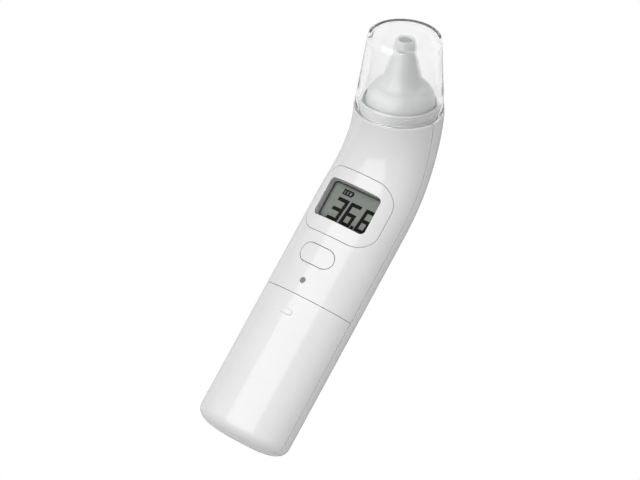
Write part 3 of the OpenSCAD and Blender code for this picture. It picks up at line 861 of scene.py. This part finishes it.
def half_shell(shape, rows, off, side, columns):
    """One half of the handle's wall, from its rounded end to the last row. side is 1
    for the front half and -1 for the back half; columns gives the angles of a row
    between two limits. Returns the outer rows and their normals."""
    s, k, a = [v[:, None] for v in rows]
    last = np.zeros_like(s)
    last[-1] = 1
    ta = turn(s)
    rim = np.stack([0 * ta, np.cos(ta), np.sin(ta)], -1)[-1, 0]

    def limits(o, w, kk):
        e = edge(s, off + side * o, w, kk, FRONT_MOST if side > 0 else REAR_MOST)
        return (e, math.pi - e) if side > 0 else (math.pi - e, 2 * math.pi + e)

    def row_points(o, w, shift=0.0, deep=0.0):
        """Rims set back by o, the last row by shift and the rounded end by deep."""
        lo, hi = limits(o, w, k)
        at_end = np.arange(len(s))[:, None] < len(END_ANGLES)
        return s - shift * last + deep * at_end, columns(lo, hi, s, k)

    def surface(ss, t, w):
        p = skin(ss, t, w, k)
        n = skin_normal(ss, t, np.broadcast_to(a, t.shape))
        if side < 0 and w == 0:
            flat = p[..., 2] < FLAT_Z + 1e-6
            p[..., 2] = np.maximum(p[..., 2], FLAT_Z)
            n[flat] = (0, 0, -1)
        return p, n

    si, ti = row_points(SEAM_R, 0.0, SEAM_R)
    P, N = surface(si, ti, 0.0)
    se, te = row_points(0, 0.0)
    E, NE = surface(se, te, 0.0)
    W = E - SEAM_R * NE
    sd, td = row_points(0, WALL, 0.0, WALL)
    D, ND = surface(sd, td, WALL)
    part = side * np.stack([0 * ta, np.sin(ta), -np.cos(ta)], -1)[:, 0]
    for j in (0, -1):
        fillet(shape, P[:, j], E[:, j], W[:, j], N[:, j], part, closed=False)
        shape.grid([W[:, j], D[:, j]], np.stack([part, part]))
    rim_n = np.broadcast_to(rim, P[-1].shape)
    fillet(shape, P[-1], E[-1], W[-1], N[-1], rim_n, closed=False)
    shape.grid([W[-1], D[-1]], np.stack([rim_n, rim_n]))
    shape.grid(D, -ND, INSIDE)
    shape.flat(P[0], (0, -1, 0))
    shape.flat(D[0], (0, 1, 0), INSIDE)
    return P, N


def plain_columns(lo, hi, s, k):
    """Columns that crowd a little towards both rims."""
    q = np.linspace(0, 1, 53)
    return lo + (hi - lo) * (q - 0.035 * np.sin(2 * math.pi * q))


def block_under(shape, y0, y1, x0, x1, z0):
    """A rib that reaches half way into the front wall."""
    w = WALL / 2
    xs = np.linspace(x0, x1, 7)
    top = BACK_D + (FRONT_D - w) * np.sqrt(1 - (xs / (HANDLE_W / 2 - w)) ** 2)
    for y, ny in ((y0, -1), (y1, 1)):
        rows = [np.stack([xs, 0 * xs + y, z], -1) for z in (0 * xs + z0, top)]
        shape.grid(rows, np.array([0, ny, 0.0]), INSIDE)
    for x, nx, z in ((x0, -1, top[0]), (x1, 1, top[-1])):
        shape.flat([(x, y0, z0), (x, y1, z0), (x, y1, z), (x, y0, z)], (nx, 0, 0), INSIDE)
    shape.flat([(x0, y0, z0), (x1, y0, z0), (x1, y1, z0), (x0, y1, z0)], (0, 0, -1), INSIDE)


def battery_cover():
    shape = Shape()
    rows = rows_with(np.concatenate([np.linspace(10.8, 57, 31), [COVER_S1]]))
    P, N = half_shell(shape, rows, COVER_OFF, 1, plain_columns)
    shape.grid(P, N)
    # the grip bar
    plan_panel(shape, (0, TAB_Y, 2.8, 1.2, 0.95), [], -0.4, 0.25, 0.55, 0.5)
    # the forked tongue: its root, two tines and the web between them
    root_y, tongue_foot = 55, 21.2
    block_under(shape, 53.5, 57.6, -4.6, 4.6, tongue_foot)
    for x in (-3.175, 3.175):
        place_box(shape, (x - 1.425, x + 1.425), (root_y, 66.4), (tongue_foot, 22.3), 0.2)
    place_box(shape, (-1.8, 1.8), (root_y, 60.9), (21.22, 22.28), 0.1)
    # the ribs over the cell
    for x in (-6.2, 5):
        block_under(shape, 25, 43, x, x + 1.2, 19.4)
    cover_piece("battery_cover", shape, "battery_cover")


LABEL_X, LABEL_Y, LABEL_DEEP = 4.9, (19.6, 48.4), 0.26  # the label's recess
FLAT_HALF = HANDLE_W / 2 * math.sqrt(1 - ((BACK_D - FLAT_Z) / BACK_D) ** 2)
SIDE_N, LABEL_N = 25, 7  # columns from a rim to the flat, and over the label
FLAT_LEFT, FLAT_RIGHT = SIDE_N - 1, SIDE_N + LABEL_N + 2  # last and first column of the sides


def rear_columns(lo, hi, s, k):
    """Columns that keep to the edges of the flat back and of the label's recess."""
    v = (spine(s)[1] - FLAT_Z) / (back_d(s) * k * np.cos(turn(s)))
    flat = np.maximum(np.arccos(np.clip(v, -1, 1)), math.radians(1.0))
    mid = 1.5 * math.pi
    side = np.linspace(0, 1, SIDE_N)
    f = LABEL_X / FLAT_HALF
    across = np.concatenate([[-1], np.linspace(-f, f, LABEL_N), [1]])
    x = np.arcsin(np.clip(across * np.sin(flat), -1, 1))
    left = lo + (mid - flat - lo) * side
    right = mid + flat + (hi - mid - flat) * side
    return np.concatenate([left, mid + x, right], -1)


def rear_cover():
    shape = Shape()
    ya, yb = LABEL_Y
    below, beside, above = np.linspace(10.8, 19, 6), np.linspace(21, 47, 14), np.linspace(50, 94, 24)
    blend, neck = np.linspace(95.5, 104, 8), np.linspace(BEND_START, BEND_START + ARC, 34)
    rows = rows_with(np.concatenate([below, [ya], beside, [yb], above, blend, neck, [NECK_S]]))
    P, N = half_shell(shape, rows, REAR_OFF, -1, rear_columns)
    s = rows[0]
    y0, y1 = [int(np.argmin(np.abs(s - y))) for y in LABEL_Y]
    c0, c1 = SIDE_N + 1, SIDE_N + LABEL_N
    # the columns at each edge of the flat are doubled, with the slope's own normal
    for c in (FLAT_LEFT, FLAT_RIGHT):
        rim = edge(s, REAR_OFF - SEAM_R, 0, rows[1], REAR_MOST)[:, None]
        t = rear_columns(math.pi - rim, 2 * math.pi + rim, s[:, None], rows[1][:, None])[:, c]
        N[:, c] = skin_normal(s, t, rows[2])

    def left_out(i, j):
        return (y0 <= i < y1 and c0 <= j < c1) or j in (FLAT_LEFT, FLAT_RIGHT - 1)

    shape.grid(P, N, skip=left_out)
    deep = FLAT_Z + LABEL_DEEP
    ends = corners(-LABEL_X, ya, LABEL_X, yb)
    shape.flat([(*c, deep) for c in ends], (0, 0, -1))
    for i, j, n in ((0, 1, (0, 1, 0)), (2, 3, (0, -1, 0)), (3, 0, (1, 0, 0)), (1, 2, (-1, 0, 0))):
        a, b = ends[i], ends[j]
        shape.flat([(*a, FLAT_Z), (*b, FLAT_Z), (*b, deep), (*a, deep)], n)
    # the screw bosses and the two posts in the bend
    boss_top = 12.35
    for y in (13, 54):
        for x in (-11, 11):
            turned(shape, tube_profile(1.05, 2.2, 2.6, boss_top), upright(x, y), 0.2, 40, mat=INSIDE)
    for x in (-5.5, 5.5):
        turned(shape, rod_profile(2, 1.6, boss_top), upright(x, 113.2), 0.2, 40, mat=INSIDE)
    cover_piece("rear_cover", shape, "thermometer")


# ---- display and controls ----
def within(spec, gap):
    """A rounded rectangle that leaves a gap inside the given one."""
    cx, cy, hw, hh, r = spec
    return (cx, cy, hw - gap, hh - gap, r - gap)


def display():
    shape = Shape()
    plan_panel(shape, within(BEZEL, 0.14), [WINDOW], 0.0, WALL, 0.2, hole_round=0.22)
    piece("display_bezel_form", shape, "thermometer", "white_gloss_plastic", [WHITE], "display_bezel")
    shape = Shape()
    plan_panel(shape, within(WINDOW, 0.08), [], 0.15, 1.15, 0.08, 1.2)
    piece("display_window_form", shape, "thermometer", "clear_plastic", [PANE], "display_window")


def button():
    """The button with its flange under the cover and the stem that meets the switch."""
    shape = Shape()
    cx, cy = BUTTON[:2]
    plan_panel(shape, within(BUTTON, 0.24), [], 0.0, 2.5, 0.14, 0.8)
    plan_panel(shape, (cx, cy, 8.8, 5.0, 4.9), [], 2.1, 3.1, 0.15)
    turned(shape, rod_profile(1.6, 20.4, 22.4), upright(cx, cy), 0.2, 40)
    piece("power_button_form", shape, "power_button", "white_gloss_plastic", [WHITE], "power_button")


PIN_FLANGE = 19.9  # underside of the pin's flange, which the spring pushes up


def pin():
    shape = Shape()
    profile = [
        (0, 18.3), (0.9, 18.3), (0.9, PIN_FLANGE), (2.4, PIN_FLANGE), (2.4, 20.7), (1.07, 20.7),
        (1.07, 24.7), (0.55, 24.7), (0.4, 24.35), (0, 24.3),
    ]
    turned(shape, profile, upright(0, PIN_Y), 0.12, 48)
    piece("release_pin_form", shape, "release_pin", "grey_plastic", [PIN_GREY], "release_pin")


def release_spring():
    """The pin's return spring, as one fixed coil; the real spring shortens as the pin goes down."""
    turns, steps, sides = 4, 200, 12
    coil_r, wire_r, foot, rise = 1.5, 0.22, 17.3, 2.3
    shape = Shape()
    a = np.linspace(0, 2 * math.pi * turns, steps + 1)[:, None]
    b = np.linspace(0, 2 * math.pi, sides, endpoint=False)[None, :]
    out = np.stack([np.cos(a) * np.cos(b), np.sin(a) * np.cos(b), np.sin(b) + 0 * a], -1)
    mid = np.stack([coil_r * np.cos(a), coil_r * np.sin(a), foot + rise * a / a.max()], -1)
    move = upright(0, PIN_Y)
    wire = move(mid + wire_r * out)
    shape.grid(wire, out, closed=True)
    shape.flat(wire[0][::-1], (0, -1, 0))
    shape.flat(wire[-1], (0, 1, 0))
    obj = piece("release_spring_form", shape, "thermometer", "spring_steel", [WIRE], "release_spring")
    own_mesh(obj)


SEGMENTS = {"3": "agdbc", "6": "agdfec"}  # bars that each digit lights


def segment_boxes(w, h, th):
    """Bars of a seven-segment digit as (x0, y0, x1, y1), lower left corner at 0, 0."""
    m, half = h / 2, th / 2
    upper, lower = (m + half, h - th), (th, m - half)
    return {
        "a": (0, h - th, w, h), "g": (0, m - half, w, m + half), "d": (0, 0, w, th),
        "b": (w - th, upper[0], w, upper[1]), "c": (w - th, lower[0], w, lower[1]),
        "f": (0, upper[0], th, upper[1]), "e": (0, lower[0], th, lower[1]),
    }


def mark(shape, outline):
    """A thin flat mark on the display's glass, with the given outline."""
    z0, z1 = LCD_TOP, LCD_TOP + 0.05
    p = np.array(outline, float)
    if sum(p[i - 1][0] * p[i][1] - p[i][0] * p[i - 1][1] for i in range(len(p))) < 0:
        p = p[::-1]
    up = np.column_stack([p, np.full(len(p), z1)])
    low = np.column_stack([p, np.full(len(p), z0)])
    shape.flat(up, (0, 0, 1))
    shape.flat(low[::-1], (0, 0, -1))
    for i in range(len(p)):
        d = p[i] - p[i - 1]
        shape.flat([low[i - 1], low[i], up[i], up[i - 1]], (d[1], -d[0], 0))


def lcd_marks():
    """A reading of 36.6 in seven-segment digits, and a battery sign."""
    shape = Shape()
    cy = WINDOW[1]
    w, h, stroke, foot, slant = 5.0, 9.3, 1.4, -7.0, 0.115
    boxes = segment_boxes(w, h, stroke)
    for digit, x in (("3", -8.1), ("6", -2.2), ("6", 4.9)):
        for key in SEGMENTS[digit]:
            mark(shape, [(x + px + slant * py, cy + foot + py) for px, py in corners(*boxes[key])])
    point = [(3.15, 0), (4.55, 0), (4.68, stroke), (3.28, stroke)]
    mark(shape, [(x, cy + foot + y) for x, y in point])
    # the battery: outline, terminal and two bars
    x0, y0, bw, bh, th = -6.7, 3.65, 4.4, 2.2, 0.55
    slant = 0.1

    def box(*ends):
        mark(shape, [(x + slant * (y - y0), cy + y) for x, y in corners(*ends)])

    box(x0, y0, x0 + bw, y0 + th)
    box(x0, y0 + bh - th, x0 + bw, y0 + bh)
    box(x0, y0 + th, x0 + th, y0 + bh - th)
    box(x0 + bw - th, y0 + th, x0 + bw, y0 + bh - th)
    box(x0 + bw, y0 + 0.55, x0 + bw + 0.4, y0 + bh - 0.55)
    for i in range(2):
        bx = x0 + 0.95 + i * 1.3
        box(bx, y0 + 0.62, bx + 0.8, y0 + bh - 0.62)
    piece("lcd_digits", shape, "thermometer", "lcd_glass", [INK])


# ---- head ----
CONE = [
    (12.95, 3.25), (12.95, 4.4), (12.8, 5.6), (12.4, 7), (11.7, 8.2), (10.65, 9.2), (9.3, 10), (8.05, 10.8),
    (7.1, 11.9), (6.3, 13.3), (5.7, 15), (5.2, 17), (4.6, 19.6), (4.15, 21.65), (3.75, 23.4), (3.45, 25.4),
    (3.32, 26.5), (3.1, 26.9), (2.8, 27.05), (2.5, 26.9), (2.5, 22.4), (3, 21.6), (3.4, 19.4), (4, 16.6),
    (4.5, 15), (5.1, 13.3), (5.8, 12), (6.9, 10.6), (8.4, 9.3), (9.8, 8.4), (10.8, 7.4), (11.5, 6.2),
    (11.75, 5), (11.75, 3.25),
]
FILM_PROFILE = [
    (10.3, 10), (9.2, 10.7), (8.1, 11.7), (7.3, 13.1), (6.7, 15), (6.1, 17.2), (5.4, 19.8), (4.8, 21.95),
    (4.3, 23.6), (4, 25.55), (3.85, 26.85), (3.5, 27.45), (2.9, 27.65), (0, 27.65), (0, 27.35), (2.8, 27.35),
    (3.3, 27.15), (3.55, 26.65), (3.7, 25.55), (4, 23.55), (4.5, 21.85), (5.1, 19.7), (5.8, 17.1),
    (6.4, 14.95), (7, 12.95), (7.9, 11.45), (9, 10.45), (10.1, 9.8),
]
COLLAR = [
    (14.6, -4), (14.6, -3.15), (13.7, -3.15), (13.7, -2.05), (14.6, -2.05), (14.6, 0.1), (13.95, 0.3),
    (13.95, 0.8), (14.3, 1), (14.3, 3.9), (13.9, 4.3), (13.6, 4.3), (13.6, 3.2), (12, 3.2), (12, -0.6),
    (11, -0.6), (11, -4),
]
# four beads that grip the cap: their section, and degrees round the collar and to each side
BEAD = [(14.2, 2), (14.55, 2.35), (14.55, 2.8), (14.2, 3.15)]
BEAD_AT, BEAD_SPAN = (38, 142, 218, 322), 7


def head():
    shape = Shape()
    turned(shape, CAP_OUTER + CAP_INNER, in_head, 0.18, 192)
    piece("probe_cap_form", shape, "probe_cap", "clear_plastic", [CAP], "probe_cap")
    # the cone and collar take the white whose darker base colour is painted shade
    shape = Shape()
    turned(shape, CONE, in_probe, 0.15, 128)
    piece("probe_cone_form", shape, "thermometer", "white_gloss_plastic", [SHADED_WHITE_HEAD], "probe_cone")
    shape = Shape()
    turned(shape, FILM_PROFILE, in_probe, 0.1, 128)
    piece("probe_cover_form", shape, "thermometer", "clear_film", [SLEEVE], "probe_cover")
    shape = Shape()
    turned(shape, COLLAR, in_head, 0.12, 160)
    for a in BEAD_AT:
        span = (math.radians(a - BEAD_SPAN), math.radians(a + BEAD_SPAN))
        turned(shape, BEAD, in_head, 0.1, 14, span)
    piece("head_collar_form", shape, "thermometer", "white_gloss_plastic", [SHADED_WHITE_HEAD], "head_collar")


def coin_cell():
    shape = Shape()
    can = [
        (0, 17.5), (9.75, 17.5), (10, 17.25), (10, 15.2), (9.8, 14.95), (8.95, 14.9), (8.95, 15.1), (0, 15.1),
    ]
    lid = [(0, 14.9), (8.7, 14.9), (8.7, 14.5), (8.45, 14.3), (0, 14.3)]
    for profile, r in ((can, 0.2), (lid, 0.15)):
        turned(shape, profile, upright(0, CELL_Y), r, 96)
    piece("coin_cell_form", shape, "thermometer", "cell_steel", [STEEL], "coin_cell")


front_cover()
battery_cover()
rear_cover()
display()
button()
pin()
release_spring()
lcd_marks()
head()
coin_cell()


# ---- stage, light and camera ----
def floor():
    """A pale floor that the camera sees as plain white."""
    mat, tree, bsdf = new_material("pale_sweep")
    tone = ramp(tree, noise(tree, 6, 3), [(0.3, (0.62, 0.62, 0.62)), (0.7, (0.64, 0.64, 0.64))])
    tree.links.new(tone, bsdf.inputs["Base Color"])
    put(bsdf, Roughness=0.8, Specular_IOR_Level=0.1)
    white = add(tree, "Emission")
    ray = add(tree, "LightPath").outputs
    where = add(tree, "VectorMath")
    where.operation = "LENGTH"
    tree.links.new(add(tree, "TexCoord").outputs["Object"], where.inputs[0])
    # through clear parts it fades with distance, and after a diffuse bounce it is a fill
    through = add(tree, "Mix")
    through.data_type = "FLOAT"
    tree.links.new(calc(tree, "MINIMUM", ray["Diffuse Depth"], 1), through.inputs["Factor"])
    tree.links.new(spread(tree, where.outputs["Value"], 0.98, 0.3, 0.2, 0.45), through.inputs["A"])
    through.inputs["B"].default_value = 1.1
    strength = calc(tree, "MAXIMUM", ray["Is Camera Ray"], through.outputs["Result"])
    tree.links.new(strength, white.inputs["Strength"])
    seen = calc(tree, "MAXIMUM", ray["Is Camera Ray"], ray["Is Transmission Ray"])
    show(tree, mixed(tree, seen, bsdf.outputs["BSDF"], white.outputs["Emission"]))
    bpy.ops.mesh.primitive_plane_add(size=8, location=(0, 0, -0.00002))
    plane = bpy.context.object
    plane.name = "floor"
    plane.data.materials.append(mat)


def room():
    """Soft light from all round, lighter to the right and beyond the head."""
    world = bpy.data.worlds.new("soft_room")
    bpy.context.scene.world = world
    world.use_nodes = True
    tree = world.node_tree
    back = put(tree.nodes["Background"], Color=(1, 1, 1, 1))
    split = add(tree, "SeparateXYZ")
    tree.links.new(add(tree, "TexCoord").outputs["Generated"], split.inputs["Vector"])
    lean = calc(tree, "MULTIPLY_ADD", split.outputs["Y"], 1.1, split.outputs["X"])
    # clear parts bend some of the view up into the room, which then reads as grey
    ray = add(tree, "LightPath").outputs
    bent = calc(tree, "MULTIPLY", ray["Is Transmission Ray"], 0.32)
    strength = calc(tree, "MAXIMUM", bent, spread(tree, lean, 0.04, 0.68, -1.49, 1.49))
    tree.links.new(strength, back.inputs["Strength"])


def area(name, location, size, power):
    """A soft box that faces straight down."""
    data = bpy.data.lights.new(name, "AREA")
    data.shape = "RECTANGLE"
    data.size, data.size_y = size
    data.energy = power
    light = bpy.data.objects.new(name, data)
    light.location = location
    bpy.context.scene.collection.objects.link(light)


def camera():
    """A long lens along the photograph's line of sight."""
    distance = 1.1
    back = Vector((0.526766, -0.084794, 0.845770)).normalized()
    up = Vector((-0.367305, 0.874611, 0.316452))
    right = up.cross(back).normalized()
    up = back.cross(right)
    target = Vector((-0.5, 79.607 - MID_Y, 27.015 - FLAT_Z)) * MM
    data = bpy.data.cameras.new("view")
    data.sensor_width = 36
    data.lens = 169.55
    cam = bpy.data.objects.new("view", data)
    turn_to = Matrix((right, up, back)).transposed().to_4x4()
    cam.matrix_world = Matrix.Translation(target + back * distance) @ turn_to
    bpy.context.scene.collection.objects.link(cam)
    bpy.context.scene.camera = cam


floor()
room()
area("softbox", (-0.155, -0.15, 1.0), (0.99, 1.4), 11.3)
camera()
bpy.context.scene.view_settings.view_transform = "Standard"
